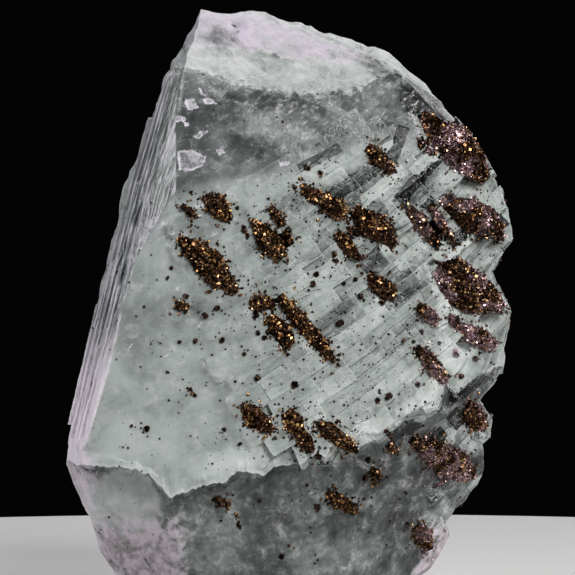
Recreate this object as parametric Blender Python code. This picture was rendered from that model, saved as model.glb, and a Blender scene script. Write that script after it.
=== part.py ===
"""Fluorite with pyrite: a broken block of pale grey-green fluorite, 89 mm tall, whose stepped
front carries crusts of small pyrite crystals. It stands on its own flat base, cut across the foot.

Up is +Z and the front faces -Y. The shapes are modelled in millimetres and brought to metres at
the end. The front was measured from one point straight before it, so a measured point is given
as (x, depth, z), where x and z are read on the upright plane through the specimen's middle and
depth is its true y. The last step moves the origin to the middle of the base.
"""

import math
import random

import bmesh
import bpy
from mathutils import Matrix, Vector, noise
from mathutils.bvhtree import BVHTree

METRES = 0.001  # one millimetre in metres
VIEWPOINT = Vector((0.0, -479.0, 46.6))  # where the front was measured from

# The curved front, as the depth of a point (x, z) of it
FRONT_NEAR = -22.0  # depth of the nearest point, at the foot of the front
FRONT_FOOT = 15.0  # height of that foot
FRONT_RIDGE = -12.0  # x where the front stands out most
FRONT_LEAN = 0.22  # how far it leans back for each mm of height
RIGHT_CURVE = 0.004
LEFT_CURVE = 0.006
FLANK_START = 22.0  # x past which the front turns away to the right
FLANK_CURVE = 0.05
SHOULDER_LEAN = 0.26  # extra lean of the smooth face above the shoulder

# Rows of growth steps, which fan out and steepen from left to right
ROW_PITCHES = (2.4, 4.4)
ROW_SLOPE = 0.65  # slope of a row where it crosses x = 0
ROW_BEND = 0.0058
ROWS_FROM = -20.0  # heights where the first and the last row cross x = 0
ROWS_TO = 76.0
STEP_LENGTHS = (4.5, 13.0)
STEP_OVERLAP = 0.5  # how far a step reaches into its neighbours
STEP_BODY = 7.0  # how deep it reaches into the block
STEP_SINK = 0.25
STEP_FACING = Vector((0.055, -0.975, 0.215))  # the lattice face that all steps share
STEP_RELIEF = ((-12.0, 0.05), (0.0, 0.13), (12.0, 0.28), (22.0, 0.55), (30.0, 0.8))  # (x, mm)
STEP_LEAN = 0.02

# Limits of the stepped area, each a line of points
LEDGE = (
    (-33.0, 20.8), (-17.6, 15.3), (-3.5, 19.2), (6.3, 21.5), (13.8, 24.9), (19.8, 29.0), (26.1, 30.9),
    (34.0, 36.4),
)
SHOULDER = ((-17.0, 60.5), (-5.7, 63.0), (1.8, 65.0), (8.6, 67.2), (16.8, 68.4), (34.0, 69.5))
STEPS_TOP = (
    (-17.0, 58.5), (-5.7, 61.5), (1.8, 66.0), (8.6, 71.0), (16.8, 72.6), (23.0, 72.5), (34.0, 62.0),
)
STEPS_LEFT = ((15.0, -5.5), (30.0, -8.0), (45.0, -12.0), (60.0, -14.5), (75.0, -10.0))  # (z, x)
LEDGE_MARGIN = 1.3  # how far above the ledge the middle of the lowest steps lies

# The right outline, which the steps are trimmed to
RIGHT_OUTLINE = (
    (12.0, 83.6), (14.5, 82.3), (17.3, 79.6), (22.8, 74.9), (28.1, 68.9), (31.6, 62.6), (33.5, 55.5),
    (33.9, 50.0), (33.2, 42.0), (32.2, 36.6), (30.9, 27.0),
)
OUTLINE_REST = ((28.0, 5.0), (-40.0, 5.0), (-40.0, 95.0))  # clear of the steps
OUTLINE_DEPTHS = (-40.0, 20.0)

# The block, each point (x, depth, z). CORE_FRONT has no depth, for it lies on the curved front
CORE_FRONT = (
    (-31.2, 20.4), (-23.0, 17.6), (-17.4, 15.5), (-6.0, 18.6), (6.3, 21.8), (19.8, 29.2), (31.0, 36.0),
    (-27.5, 33.0), (-25.2, 41.5), (-23.6, 49.0), (-19.2, 53.4), (-8.0, 40.0), (-10.0, 56.0), (2.0, 45.0),
    (14.0, 50.0), (24.0, 52.0),
)
UPPER_FRONT = ((-16.7, 61.0), (1.8, 64.8), (8.6, 67.0), (17.0, 68.4), (28.0, 66.8))
UPPER_SETBACK = 0.4
CORE_SETBACK = ((-9.0, 0.15), (4.0, 1.6), (30.0, 2.6))  # (x, mm), how far the core lies behind the steps
UPPER_FACE = (
    (-16.4, -8.0, 73.2), (-15.8, -6.0, 78.9), (-5.7, -5.6, 76.4), (1.8, -4.8, 75.2), (8.6, -3.4, 75.9),
    (16.5, 0.5, 79.0),
)
TOP_EDGE = (
    (-13.2, 2.0, 88.6), (-3.5, 5.0, 87.6), (2.0, 6.8, 86.4), (7.8, 8.0, 84.6), (14.5, 9.0, 82.0),
    (17.4, 6.0, 79.2), (22.8, 4.0, 74.5), (28.1, 3.0, 68.5),
)
RIGHT_EDGE = ((31.2, 3.0, 62.4), (32.9, 4.0, 54.5), (32.6, 4.0, 42.5), (31.2, 3.5, 35.0))
LEFT_EDGE = (
    (-18.6, 6.0, 78.0), (-24.0, 11.0, 62.0), (-27.9, 9.0, 46.2), (-30.6, 6.0, 36.5), (-33.0, 0.0, 23.7),
    (-33.2, -2.0, 20.0),
)
BACK = (
    (-13.0, 15.0, 82.0), (4.0, 20.0, 79.0), (18.0, 19.0, 69.0), (27.0, 21.0, 52.0), (26.0, 22.0, 32.0),
    (20.0, 19.0, 12.0), (-18.0, 19.0, 10.0), (-28.0, 18.0, 20.0), (-25.0, 20.0, 42.0), (-19.0, 18.0, 62.0),
)

# The foot: the darker part below the ledge, which slopes back under it
FOOT = (
    (-31.2, -14.5, 20.0), (-17.4, -19.4, 15.6), (6.3, -16.4, 21.0), (19.8, -11.5, 28.5), (30.0, -3.0, 34.0),
    (-33.2, -2.0, 20.0), (-31.7, -4.0, 14.7), (-29.4, -5.0, 10.2), (-28.2, -4.5, 6.0), (-26.1, -3.5, 3.4),
    (30.5, 1.0, 26.5), (29.1, 2.0, 18.2), (26.6, 2.5, 14.8), (23.3, 3.0, 8.0), (19.5, 3.0, 3.8),
    (-16.2, -12.4, 5.5), (27.0, 20.0, 30.0), (22.0, 19.0, 10.0), (-26.0, 16.0, 12.0), (-28.0, 17.0, 22.0),
    (-22.4, -4.0, -3.0), (-15.0, -8.6, -3.0), (7.6, -8.4, -3.0), (12.5, -4.5, -3.0), (14.0, 2.0, -3.0),
    (12.0, 15.0, -3.0), (-17.5, 15.0, -3.0),
)

FOOT_FACING = STEP_FACING + Vector((0.25, 0, 0))  # the lattice face turned with the flank

# Growth steps that show below the ledge at the right: x, depth, z, length, width and turn
FOOT_STEPS = (
    (17.6, -9.4, 28.6, 6.0, 3.0, 38), (21.5, -8.0, 31.0, 5.5, 3.4, 40), (22.4, -7.2, 25.4, 7.5, 3.2, 44),
    (26.6, -3.6, 29.0, 6.5, 3.4, 46), (26.4, -3.4, 23.2, 7.0, 3.6, 48), (29.3, -1.0, 31.6, 5.0, 3.0, 47),
    (23.6, -3.2, 17.6, 7.5, 3.0, 38), (18.6, -6.6, 21.0, 7.0, 3.0, 42),
)

# Bites out of the right edge between the ends of the steps: inner corner x and z, the angles of
# the upper and the lower wall, then the depth where the inner corner ends
NOTCHES = (
    (29.3, 61.0, 33, -62, -4.0), (30.4, 49.0, 57, -62, 10.0), (31.6, 39.8, 32, -70, 3.0),
    (28.4, 29.5, 48, -50, 11.0), (28.9, 23.2, 35, -82, 4.0), (23.0, 12.3, 32, -66, 8.0),
)
NOTCH_REACH = 14.0
NOTCH_FRONT = -30.0  # depth where a notch starts
NOTCH_FADE = 13.0  # how far past its inner corner the mouth of a notch runs back

# Ridges along the left face: how far across it, from its near edge at 0 to its far edge at 1, and
# the heights they run between
LEFT_RIDGES = (
    (0.10, 50, 76, 1.1), (0.18, 22, 47, 1.0), (0.27, 40, 80, 1.3), (0.36, 24, 38, 1.0), (0.42, 52, 78, 1.0),
    (0.52, 27, 62, 1.3), (0.62, 60, 79, 1.1), (0.68, 24, 50, 1.2), (0.80, 40, 72, 1.5), (0.90, 26, 44, 1.2),
)  # across, from, to, width
LEFT_NEAR = (
    (20.4, -31.2, -17.0), (32.0, -27.5, -16.5), (40.2, -25.5, -15.0), (49.2, -23.7, -13.5),
    (61.2, -16.7, -12.0), (73.2, -16.8, -8.0), (82.2, -15.5, -4.0),
)  # (z, x, depth)
LEFT_FAR = (
    (20.0, -33.2, -2.0), (36.5, -30.6, 6.0), (46.2, -27.9, 9.0), (62.0, -24.0, 11.0), (78.0, -18.6, 6.0),
    (84.0, -16.0, 4.0),
)
RIDGE_HEIGHT = 0.45
RIDGE_BODY = 3.0

# Flat cleavage ledges on the back and the right, each of which starts at a point and runs off the
# edge: the side it is seen from, in degrees round from the front, place across, height, direction,
# width, depth and how fast it deepens
CLEAVED = (
    (180, -4.0, 64.0, 28, 26.0, 1.6, 0.03), (180, 3.0, 43.0, 30, 20.0, 2.2, 0.04),
    (180, -1.0, 33.0, 212, 18.0, 1.7, 0.05), (180, 8.0, 22.0, 26, 15.0, 1.8, 0.05),
    (180, 2.0, 51.0, 205, 17.0, 1.4, 0.03), (90, 7.0, 60.0, -35, 12.0, 1.2, 0.04),
    (90, 9.0, 40.0, -38, 13.0, 1.3, 0.05), (90, 6.0, 24.0, -34, 9.0, 1.2, 0.05),
)
CLEAVED_REACH = 70.0
CLEAVED_BODY = 20.0

# The broken surfaces: how rough each is, and the size of its facets
TOP_BREAK = ((-17.0, 79.6), (-5.7, 76.8), (1.8, 75.6), (8.6, 75.8), (16.5, 79.6), (30.0, 70.0))  # (x, z)
TOP_ROUGH = 0.9
TOP_MARGIN = 0.6
BACK_ROUGH = 1.5
BACK_FROM = 5.0  # depth where the rough back begins
BACK_RAMP = 6.0
FOOT_ROUGH = 1.0
FOOT_MARGIN = 2.5
BASE_MARGIN = 0.5
FACET = 5.0
BACK_FACET = 7.5
FACET_SPREAD = 1.4  # how much longer than its facet an edge may be
SPLITS = 5
ROUGH_WAVES = ((0.10, 1.0), (0.29, 0.6))  # (waves per mm, share)

# Pyrite crusts: the view they are seen from, both ends of their middle line, and their widths
# along it
FRONT = 0
RIGHT = 90
REAR = 180
CRUSTS = (
    (FRONT, (-16.5, 54.0), (-7.5, 45.9), (0.8, 3.3, 4.5, 3.3, 0.8)),
    (FRONT, (-12.4, 60.3), (-8.7, 56.7), (1.2, 3.3, 2.7, 1.2)),
    (FRONT, (-15.9, 58.9), (-14.1, 57.1), (0.6, 1.2, 0.8)),
    (FRONT, (-5.4, 56.4), (-0.8, 51.0), (0.9, 2.4, 3.4, 3.1, 1.3)),
    (FRONT, (-2.5, 58.6), (-0.9, 55.8), (0.9, 1.5, 0.9)),
    (FRONT, (-0.6, 55.0), (0.6, 53.1), (0.8, 1.1, 0.8)),
    (FRONT, (2.2, 61.5), (8.4, 57.6), (1.2, 2.1, 2.1, 2.7, 1.5)),
    (FRONT, (10.0, 58.2), (15.9, 52.9), (1.5, 3.6, 3.9, 3.3, 1.2)),
    (FRONT, (7.2, 54.6), (10.8, 50.7), (1.2, 2.1, 1.8, 0.6)),
    (FRONT, (12.3, 48.3), (15.9, 45.0), (0.9, 2.7, 2.7, 1.2)),
    (FRONT, (-5.7, 44.5), (-2.2, 44.2), (0.9, 2.2, 2.2, 1.3)),
    (FRONT, (-1.3, 45.4), (7.0, 35.4), (0.9, 1.8, 2.1, 2.2, 2.1, 1.5, 0.8)),
    (FRONT, (-2.9, 42.1), (0.4, 37.8), (1.2, 2.7, 2.5, 1.8)),
    (FRONT, (-16.8, 43.9), (-15.0, 43.5), (1.1, 1.2, 0.9)),
    (FRONT, (-6.9, 28.9), (-2.4, 24.9), (0.8, 2.4, 3.0, 2.4, 0.8)),
    (FRONT, (-0.1, 27.9), (3.6, 21.9), (1.8, 2.9, 1.8, 2.2, 0.8)),
    (FRONT, (4.5, 26.4), (10.3, 21.9), (1.2, 2.4, 2.1, 1.9, 0.6)),
    (FRONT, (19.8, 37.2), (23.2, 32.7), (0.9, 2.4, 2.1, 0.8)),
    (FRONT, (19.5, 43.9), (22.5, 41.4), (1.2, 2.2, 1.3)),
    (FRONT, (12.0, 67.8), (15.9, 63.9), (1.2, 2.7, 2.1, 0.8)),
    (FRONT, (18.0, 58.5), (22.6, 52.7), (0.9, 1.9, 2.2, 1.6, 0.9)),
    (FRONT, (21.3, 58.5), (25.1, 52.9), (0.8, 1.3, 1.3, 0.6)),
    (FRONT, (20.6, 72.6), (29.2, 62.6), (1.4, 4.2, 5.9, 6.2, 4.8, 1.6)),
    (FRONT, (23.9, 59.5), (31.6, 55.0), (1.5, 3.9, 5.1, 4.8, 1.8)),
    (FRONT, (23.0, 49.7), (31.7, 43.4), (2.4, 6.0, 6.7, 6.0, 3.9, 1.5)),
    (FRONT, (24.4, 42.0), (30.9, 37.7), (1.1, 1.9, 2.5, 2.8, 1.4)),
    (FRONT, (26.6, 28.8), (29.3, 25.4), (1.9, 3.6, 3.2, 1.2)),
    (FRONT, (18.3, 23.7), (27.6, 18.6), (1.2, 2.7, 3.9, 4.8, 3.9, 1.2)),
    (FRONT, (15.0, 23.1), (16.2, 21.9), (1.1, 1.3, 0.9)),
    (FRONT, (12.4, 19.5), (13.7, 18.0), (0.9, 1.2, 0.8)),
    (FRONT, (5.8, 15.9), (10.3, 13.2), (0.9, 2.1, 1.9, 1.2)),
    (FRONT, (-10.9, 15.0), (-9.0, 13.9), (0.9, 1.2, 0.8)),
    (FRONT, (19.1, 10.9), (21.0, 7.5), (1.5, 2.7, 1.3)),
    (RIGHT, (11.0, 57.0), (15.5, 51.0), (1.5, 3.4, 3.9, 1.8)),
    (RIGHT, (8.0, 44.0), (13.5, 38.5), (1.4, 3.1, 2.8, 1.3)),
    (RIGHT, (9.0, 24.5), (15.0, 19.0), (1.4, 3.5, 2.6, 1.0)),
    (REAR, (-17.0, 51.0), (-11.0, 44.0), (1.2, 3.0, 3.4, 1.6)),
    (REAR, (1.0, 62.0), (6.0, 56.5), (1.1, 2.4, 2.0, 1.0)),
    (REAR, (11.0, 35.0), (16.0, 29.0), (1.0, 2.7, 2.2, 0.9)),
)
CRUST_RISE = 0.75  # how far the middle of a crust stands out of the fluorite
CRUST_LUMPS = (0.7, 1.3)  # least and greatest share of that rise
CRUST_ENDS = 0.6  # share of it at both ends
CRUST_ROUNDNESS = 3
CRUST_WIDE = 3.0  # width from which a crust has four points across, not three
CRUST_EDGE = 0.2
CRUST_ROOT = 0.8  # how deep it is set in
CRUST_SWAY = 0.08
CRUST_DROP = 1.4  # how far it follows the surface down past an edge
PROBE = 8.0  # how far above the surface its height is taken from
POCKET_MOUTH = 6.0  # how far a pocket's cutter stands out of the surface
CLEARANCE = 0.4  # between a crust and the pocket it grew in

GROUND = 150.0  # size of the body that cuts the base flat

# Finishes: colour, roughness, metallic
FLUORITE_FINISH = ("fluorite", (0.50, 0.55, 0.53), 0.25, 0.0)
PYRITE_FINISH = ("pyrite", (0.16, 0.10, 0.06), 0.35, 1.0)


def between(points, at, value=1):
    """A value read at one place along a line of points, each of which starts with its place."""
    if at <= points[0][0]:
        return points[0][value]
    for low, high in zip(points, points[1:]):
        if at <= high[0]:
            share = (at - low[0]) / (high[0] - low[0])
            return low[value] + (high[value] - low[value]) * share
    return points[-1][value]


def true_place(x, depth, z):
    """Where a measured point is: on the line of sight through (x, z), at its depth."""
    scale = (depth - VIEWPOINT.y) / -VIEWPOINT.y
    return Vector((x * scale, depth, VIEWPOINT.z + (z - VIEWPOINT.z) * scale))


def front_depth(x, z):
    """Depth of the curved front at (x, z)."""
    curve = RIGHT_CURVE if x > FRONT_RIDGE else LEFT_CURVE
    depth = FRONT_NEAR + FRONT_LEAN * (z - FRONT_FOOT) + curve * (x - FRONT_RIDGE) ** 2
    depth += FLANK_CURVE * max(0.0, x - FLANK_START) ** 2
    return depth + SHOULDER_LEAN * max(0.0, z - between(SHOULDER, x))


def new_object(name, shape):
    bmesh.ops.recalc_face_normals(shape, faces=shape.faces)
    mesh = bpy.data.meshes.new(name)
    shape.to_mesh(mesh)
    shape.free()
    made = bpy.data.objects.new(name, mesh)
    bpy.context.scene.collection.objects.link(made)
    return made


def add_hull(shape, points):
    """Adds the closed convex body round these points."""
    corners = [shape.verts.new(point) for point in points]
    found = bmesh.ops.convex_hull(shape, input=corners)
    inside = [item for item in found["geom_interior"] if isinstance(item, bmesh.types.BMVert)]
    bmesh.ops.delete(shape, geom=inside, context="VERTS")


def hull(name, points):
    shape = bmesh.new()
    add_hull(shape, points)
    return new_object(name, shape)


def combine(body, other, operation):
    """Joins, cuts or intersects body with other, and removes other."""
    step = body.modifiers.new(operation.lower(), "BOOLEAN")
    step.operation = operation
    step.solver = "EXACT"
    step.use_self = True
    step.object = other
    graph = bpy.context.evaluated_depsgraph_get()
    mesh = bpy.data.meshes.new_from_object(body.evaluated_get(graph))
    body.modifiers.clear()
    body.data = mesh
    bpy.data.objects.remove(other)
    return body


def add_box(shape, frame, length, width, height):
    """Adds a box whose top face is at the frame's origin and faces the frame's z."""
    box = Matrix.Translation((0, 0, -height / 2)) @ Matrix.Diagonal((length, width, height, 1))
    bmesh.ops.create_cube(shape, size=1, matrix=frame @ box)


def facing(place, outward, along):
    """A frame at place, with z outward and x as near to along as it can be."""
    z = outward.normalized()
    x = (along - along.dot(z) * z).normalized()
    y = z.cross(x)
    frame = Matrix((x, y, z)).transposed().to_4x4()
    frame.translation = place
    return frame


def surface_of(body):
    shape = bmesh.new()
    shape.from_mesh(body.data)
    tree = BVHTree.FromBMesh(shape)
    shape.free()
    return tree


def seen_point(surface, view, across, height):
    """Where the surface is at a place measured from one side, and which way it faces there."""
    if view == FRONT:
        start = VIEWPOINT
        ahead = (Vector((across, 0, height)) - VIEWPOINT).normalized()
    else:
        turn = math.radians(view)
        ahead = Vector((-math.sin(turn), math.cos(turn), 0))
        start = across * Vector((math.cos(turn), math.sin(turn), 0)) - GROUND * ahead
        start.z = height
    place, outward, _, _ = surface.ray_cast(start, ahead)
    return place, outward


def row_height(row, x):
    """Height at x of a row of growth steps that crosses x = 0 at the height row."""
    return ROW_SLOPE * x + ROW_BEND * x * x + row


def in_stepped_area(x, z):
    low = between(LEDGE, x) + LEDGE_MARGIN
    return low < z < between(STEPS_TOP, x) and x > between(STEPS_LEFT, z)


def growth_steps():
    """The rows of steps on the front, overlapping boxes trimmed to the right outline."""
    rng = random.Random(11)
    shape = bmesh.new()
    row = ROWS_FROM
    while row < ROWS_TO:
        pitch = rng.uniform(*ROW_PITCHES)
        row += pitch / 2
        x = between(STEPS_LEFT, row_height(row, -10.0)) - rng.uniform(0.0, 6.0)
        while x < RIGHT_OUTLINE[7][0]:
            steepness = math.atan(ROW_SLOPE + 2 * ROW_BEND * x)
            reach = rng.uniform(*STEP_LENGTHS) * math.cos(steepness)
            middle = x + reach / 2
            x += reach
            z = row_height(row, middle)
            relief = between(STEP_RELIEF, middle)
            lift = rng.uniform(-relief, relief)
            lean = Vector((rng.gauss(0, STEP_LEAN), 0, rng.gauss(0, STEP_LEAN)))
            if not in_stepped_area(middle, z):
                continue
            slope = ROW_SLOPE + 2 * ROW_BEND * middle
            steepness = math.atan(slope)
            place = true_place(middle, front_depth(middle, z) - STEP_SINK + lift, z)
            frame = facing(place, STEP_FACING + lean, Vector((1, 0, slope)))
            width = pitch * math.cos(steepness) + STEP_OVERLAP
            add_box(shape, frame, reach / math.cos(steepness) + STEP_OVERLAP, width, STEP_BODY)
        row += pitch / 2
    steps = new_object("growth_steps", shape)
    outline = [*RIGHT_OUTLINE, *OUTLINE_REST]
    trim = hull("outline", [true_place(x, y, z) for x, z in outline for y in OUTLINE_DEPTHS])
    return combine(steps, trim, "INTERSECT")


def foot_steps():
    shape = bmesh.new()
    for x, depth, z, length, width, turn in FOOT_STEPS:
        slope = math.tan(math.radians(turn))
        frame = facing(true_place(x, depth, z), FOOT_FACING, Vector((1, 0, slope)))
        add_box(shape, frame, length, width, STEP_BODY)
    return new_object("foot_steps", shape)


def notch(x, z, upper, lower, end):
    """A wedge that opens forward and to the right, to cut a bite out of the right edge."""
    corner = Vector((x, z))
    outline = [corner]
    for angle in (lower, (upper + lower) / 2, upper):
        turn = math.radians(angle)
        outline.append(corner + NOTCH_REACH * Vector((math.cos(turn), math.sin(turn))))
    front = [true_place(p.x, NOTCH_FRONT, p.y) for p in outline]
    mouth = [true_place(p.x, end + NOTCH_FADE, p.y) for p in outline[1:]]
    return hull("notch", front + [true_place(x, end, z)] + mouth)


def left_ridges(surface):
    """Long thin ridges that run up the narrow left face."""
    shape = bmesh.new()
    for across, low, high, width in LEFT_RIDGES:
        ends = []
        for z in (low, high):
            near = true_place(between(LEFT_NEAR, z), between(LEFT_NEAR, z, 2), z)
            far = true_place(between(LEFT_FAR, z), between(LEFT_FAR, z, 2), z)
            ends.append(surface.find_nearest(near.lerp(far, across))[0])
        middle, outward, _, _ = surface.find_nearest((ends[0] + ends[1]) / 2)
        along = ends[1] - ends[0]
        frame = facing(middle + RIDGE_HEIGHT * outward, outward, along)
        add_box(shape, frame, along.length, width, RIDGE_BODY)
    return new_object("left_ridges", shape)


def roughness_at(place):
    """How far the surface may be out of true at a place, in mm: 0 on the faces that grew flat."""
    if place.z < BASE_MARGIN:
        return 0.0
    if place.y > BACK_FROM:
        return BACK_ROUGH * min(1.0, (place.y - BACK_FROM) / BACK_RAMP)
    if place.z > between(TOP_BREAK, place.x) + TOP_MARGIN:
        return TOP_ROUGH
    if place.z < between(LEDGE, place.x) - FOOT_MARGIN:
        return FOOT_ROUGH
    return 0.0


def roughen(body):
    """Breaks the rough surfaces of the body into facets and moves their corners in and out."""
    shape = bmesh.new()
    shape.from_mesh(body.data)
    bmesh.ops.triangulate(shape, faces=shape.faces)
    for _ in range(SPLITS):
        long = []
        for edge in shape.edges:
            middle = (edge.verts[0].co + edge.verts[1].co) / 2
            facet = BACK_FACET if middle.y > BACK_FROM else FACET
            if edge.calc_length() > facet * FACET_SPREAD and roughness_at(middle) > 0:
                long.append(edge)
        if not long:
            break
        bmesh.ops.subdivide_edges(shape, edges=long, cuts=1)
        bmesh.ops.triangulate(shape, faces=[face for face in shape.faces if len(face.verts) > 3])
    shape.normal_update()
    moves = []
    for vert in shape.verts:
        wave = sum(share * noise.noise(vert.co * rate) for rate, share in ROUGH_WAVES)
        moves.append(vert.normal * wave * roughness_at(vert.co))
    for vert, move in zip(shape.verts, moves):
        vert.co += move
    shape.to_mesh(body.data)
    shape.free()


def cleave(body):
    """Cuts the flat cleavage ledges."""
    surface = surface_of(body)
    for view, across, height, turn, width, depth, lean in CLEAVED:
        place, outward = seen_point(surface, view, across, height)
        side = Vector((math.cos(math.radians(view)), math.sin(math.radians(view)), 0))
        along = side * math.cos(math.radians(turn)) + Vector((0, 0, math.sin(math.radians(turn))))
        frame = facing(place, outward + lean * along, along)
        cutter = bmesh.new()
        corner = Matrix.Translation((CLEAVED_REACH / 2, 0, CLEAVED_BODY - depth))
        add_box(cutter, frame @ corner, CLEAVED_REACH, width, CLEAVED_BODY)
        combine(body, new_object("cleavage", cutter), "DIFFERENCE")


def build_fluorite():
    front = [(x, front_depth(x, z) + between(CORE_SETBACK, x), z) for x, z in CORE_FRONT]
    front += [(x, front_depth(x, z) + UPPER_SETBACK, z) for x, z in UPPER_FRONT]
    sides = [*front, *UPPER_FACE, *TOP_EDGE, *RIGHT_EDGE, *LEFT_EDGE, *BACK]
    block = hull("fluorite", [true_place(*point) for point in sides])
    combine(block, hull("foot", [true_place(*point) for point in FOOT]), "UNION")
    roughen(block)
    cleave(block)
    combine(block, left_ridges(surface_of(block)), "UNION")
    combine(block, growth_steps(), "UNION")
    combine(block, foot_steps(), "UNION")
    for corner in NOTCHES:
        combine(block, notch(*corner), "DIFFERENCE")
    below = bmesh.new()
    add_box(below, Matrix.Identity(4), GROUND, GROUND, GROUND)
    return combine(block, new_object("below", below), "DIFFERENCE")


class Crust:
    """A crust of pyrite: rows of points of the fluorite's surface, in a frame that faces outward."""

    def __init__(self, surface, view, start, end, widths, rng):
        first, _ = seen_point(surface, view, *start)
        last, _ = seen_point(surface, view, *end)
        outward = seen_point(surface, view, (start[0] + end[0]) / 2, (start[1] + end[1]) / 2)[1] * 2
        for place in (first, last):
            outward += surface.find_nearest(place)[1]
        self.frame = facing((first + last) / 2, outward, last - first)
        length = (last - first).length
        self.columns = (-1.0, -0.4, 0.4, 1.0) if max(widths) > CRUST_WIDE else (-1.0, 0.0, 1.0)
        self.rows = []
        for count, width in enumerate(widths):
            s = (count / (len(widths) - 1) - 0.5) * length
            sway = rng.uniform(-CRUST_SWAY, CRUST_SWAY) * width
            sides = [column * width / 2 + sway for column in self.columns]
            self.rows.append([Vector((s, w, self.height(surface, s, w))) for w in sides])
        self.floor = min(point.z for row in self.rows for point in row) - CRUST_ROOT

    def height(self, surface, s, w):
        """Height of the surface over the frame, kept near it where the surface drops away."""
        inward = self.frame.to_3x3() @ Vector((0, 0, -1))
        place, _, _, _ = surface.ray_cast(self.frame @ Vector((s, w, PROBE)), inward)
        if place is None:
            return -CRUST_DROP
        return max(-CRUST_DROP, min(CRUST_DROP, (self.frame.inverted() @ place).z))

    def outline(self, grow):
        """The points round the crust, in the frame's plane and grown outward."""
        last = len(self.rows) - 1
        ends = [-1 if count == 0 else 1 if count == last else 0 for count in range(last + 1)]
        left = [row[0] + Vector((end * grow, -grow, 0)) for row, end in zip(self.rows, ends)]
        right = [row[-1] + Vector((end * grow, grow, 0)) for row, end in zip(self.rows, ends)]
        return [(point.x, point.y) for point in left + right[::-1]]

    def add_pocket(self, shape):
        """Adds the body that cuts the crust's place in the fluorite."""
        bottom = self.floor - CLEARANCE
        corners = [self.frame @ Vector((x, y, bottom)) for x, y in self.outline(CLEARANCE)]
        base = shape.faces.new([shape.verts.new(corner) for corner in corners])
        raised = bmesh.ops.extrude_face_region(shape, geom=[base])
        tops = [item for item in raised["geom"] if isinstance(item, bmesh.types.BMVert)]
        out = self.frame.to_3x3() @ Vector((0, 0, POCKET_MOUTH - self.floor))
        bmesh.ops.translate(shape, verts=tops, vec=out)

    def body(self, name, rng):
        """The crust itself: a flat underside, low edges and a lumpy top."""
        shape = bmesh.new()
        tops = []
        for count, row in enumerate(self.rows):
            height = CRUST_RISE * (CRUST_ENDS if count in (0, len(self.rows) - 1) else 1.0)
            line = []
            for column, point in zip(self.columns, row):
                rise = height * (1 - abs(column) ** CRUST_ROUNDNESS) * rng.uniform(*CRUST_LUMPS)
                raised = point + Vector((0, 0, CRUST_EDGE + rise))
                line.append(shape.verts.new(self.frame @ raised))
            tops.append(line)
        for line, following in zip(tops, tops[1:]):
            for a, b, c, d in zip(line, line[1:], following[1:], following):
                shape.faces.new((a, b, c, d))
        rim = [line[0] for line in tops] + tops[-1][1:-1]
        rim += [line[-1] for line in tops][::-1] + tops[0][-2:0:-1]
        feet = []
        for vert in rim:
            flat = self.frame.inverted() @ vert.co
            feet.append(shape.verts.new(self.frame @ Vector((flat.x, flat.y, self.floor))))
        for count, vert in enumerate(rim):
            after = (count + 1) % len(rim)
            shape.faces.new((vert, rim[after], feet[after], feet[count]))
        shape.faces.new(feet)
        bmesh.ops.triangulate(shape, faces=shape.faces)
        return new_object(name, shape)


def build_crusts(fluorite):
    """Sets each crust in a pocket in the fluorite."""
    rng = random.Random(23)
    surface = surface_of(fluorite)
    pockets = bmesh.new()
    made = []
    for number, (view, start, end, widths) in enumerate(CRUSTS, 1):
        crust = Crust(surface, view, start, end, widths, rng)
        crust.add_pocket(pockets)
        made.append(crust.body(f"pyrite_crust_{number:02d}", rng))
    combine(fluorite, new_object("pockets", pockets), "DIFFERENCE")
    return made


def drop_loose_shells(body):
    """Keeps the largest shell, without chips cut free or spaces shut inside."""
    shape = bmesh.new()
    shape.from_mesh(body.data)
    left = set(shape.verts)
    shells = []
    while left:
        found = {left.pop()}
        edge = list(found)
        while edge:
            for link in edge.pop().link_edges:
                for vert in link.verts:
                    if vert in left:
                        left.remove(vert)
                        found.add(vert)
                        edge.append(vert)
        shells.append(found)
    shells.sort(key=len)
    for shell in shells[:-1]:
        bmesh.ops.delete(shape, geom=list(shell), context="VERTS")
    shape.to_mesh(body.data)
    shape.free()


def give_finish(objects, name, colour, roughness, metallic):
    material = bpy.data.materials.new(name)
    material.use_nodes = True
    shader = material.node_tree.nodes["Principled BSDF"]
    shader.inputs["Base Color"].default_value = (*colour, 1.0)
    shader.inputs["Roughness"].default_value = roughness
    shader.inputs["Metallic"].default_value = metallic
    for item in objects:
        item.data.materials.clear()
        item.data.materials.append(material)


def stand_on_origin(objects):
    """Brings everything to metres, with the origin at the middle of the base of the whole."""
    corners = [vert.co for item in objects for vert in item.data.vertices]
    low = Vector([min(corner[axis] for corner in corners) for axis in range(3)])
    high = Vector([max(corner[axis] for corner in corners) for axis in range(3)])
    middle = (low + high) / 2
    move = Matrix.Translation((-middle.x, -middle.y, -low.z))
    for item in objects:
        item.data.transform(Matrix.Scale(METRES, 4) @ move)


def main():
    for old in list(bpy.data.objects):
        bpy.data.objects.remove(old)
    fluorite = build_fluorite()
    crusts = build_crusts(fluorite)
    drop_loose_shells(fluorite)
    give_finish([fluorite], *FLUORITE_FINISH)
    give_finish(crusts, *PYRITE_FINISH)
    stand_on_origin([fluorite, *crusts])


main()
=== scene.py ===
import math
import random

import bmesh
import bpy
import numpy as np
from mathutils import Matrix, Quaternion, Vector, noise
from mathutils.bvhtree import BVHTree


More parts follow.
